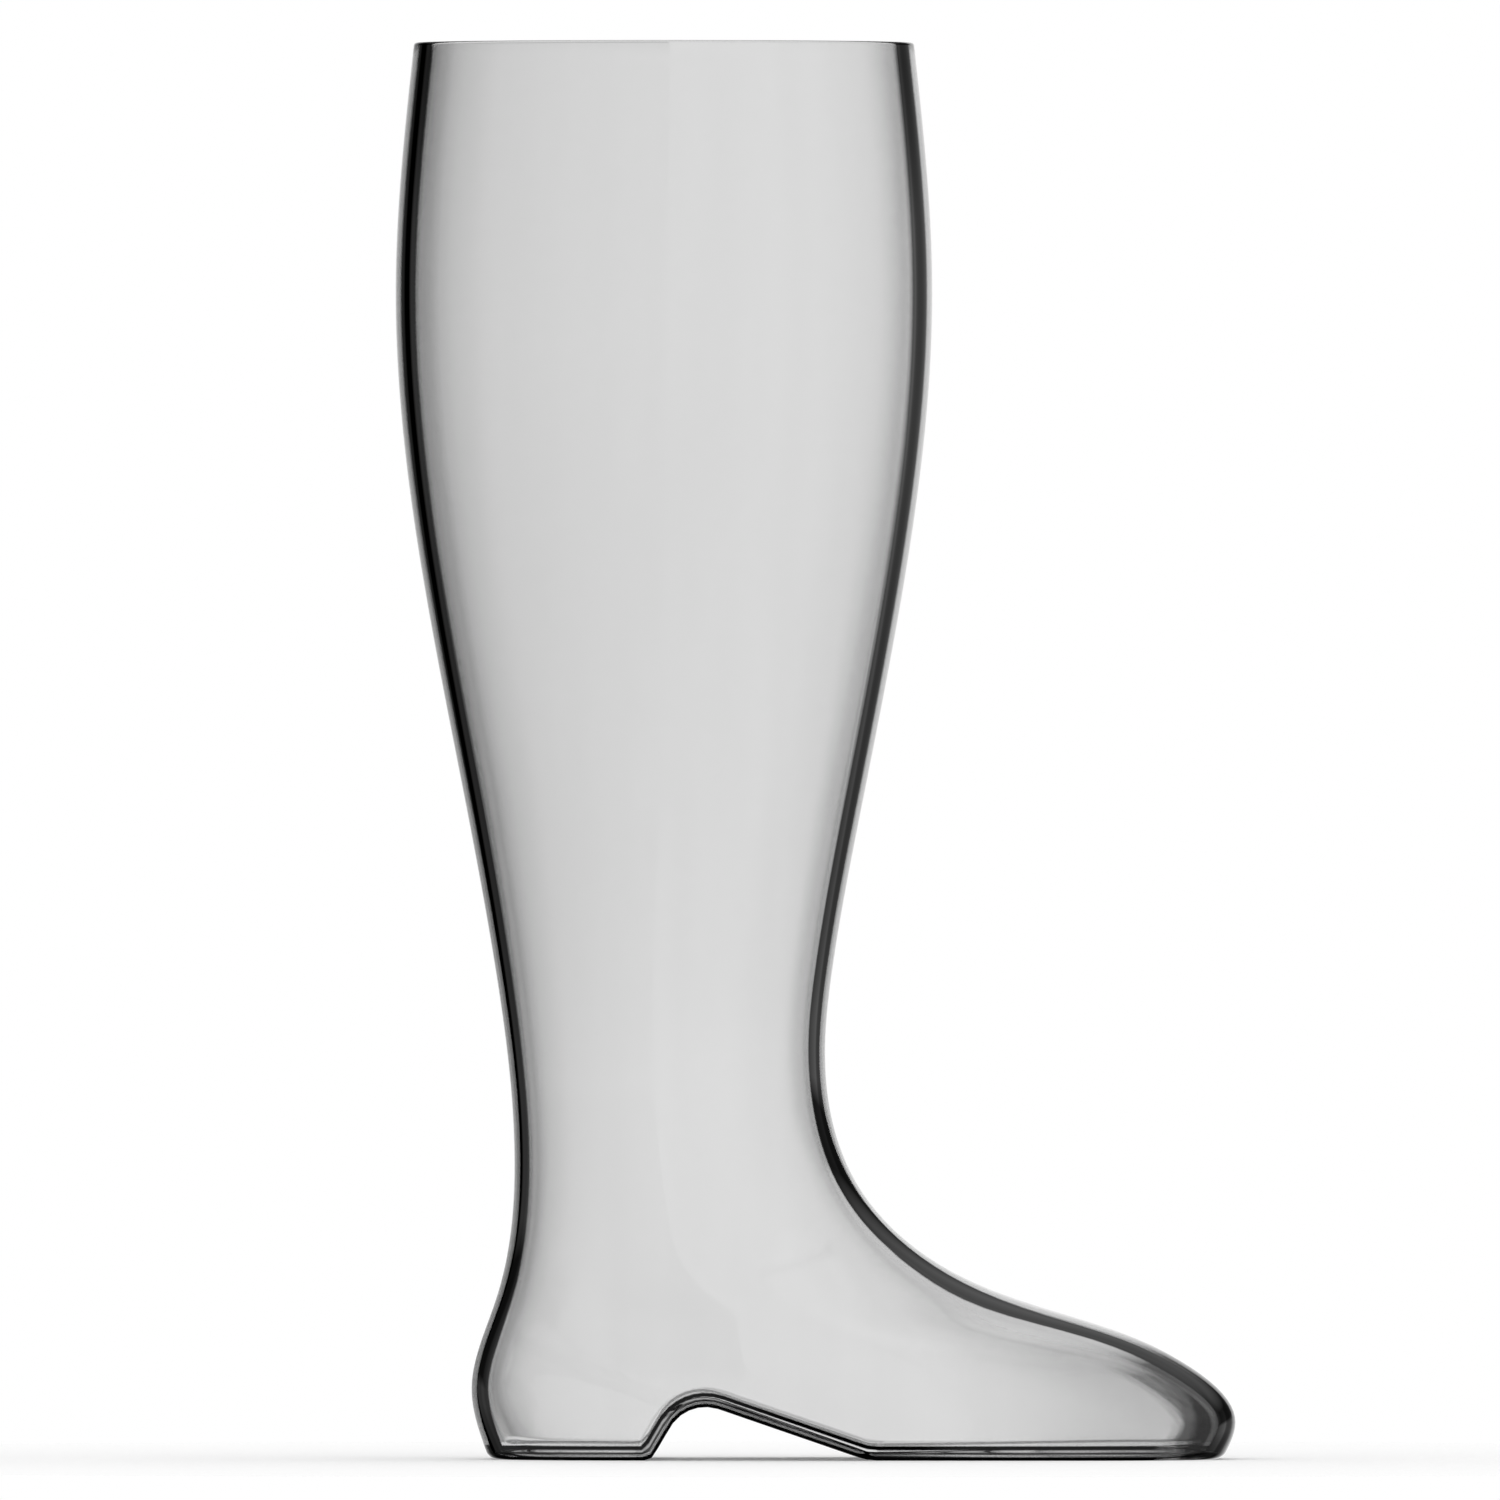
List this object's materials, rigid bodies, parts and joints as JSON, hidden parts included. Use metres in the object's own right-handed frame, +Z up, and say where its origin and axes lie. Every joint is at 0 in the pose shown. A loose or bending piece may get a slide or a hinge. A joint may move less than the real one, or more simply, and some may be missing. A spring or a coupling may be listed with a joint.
{
  "type": "boot-shaped drinking glass",
  "caption": "Clear glass drinking boot with a round flared leg, a narrow ankle, a closed rounded toe and an arched sole behind a flat heel.",
  "frame": {"origin": "on the table under the middle of the glass's box", "axes": "+Z up along the leg, +X towards the toe, +Y across the foot"},
  "size_m": [0.2017, 0.1288, 0.34],
  "materials": {
    "clear_glass": "clear, fire-polished"
  },
  "bodies": {
    "root": {"rim": "clear_glass", "calf": "clear_glass", "shin": "clear_glass", "counter": "clear_glass", "vamp": "clear_glass", "toe_cap": "clear_glass", "heel": "clear_glass", "shank": "clear_glass", "sole": "clear_glass"}
  },
  "joints": []
}
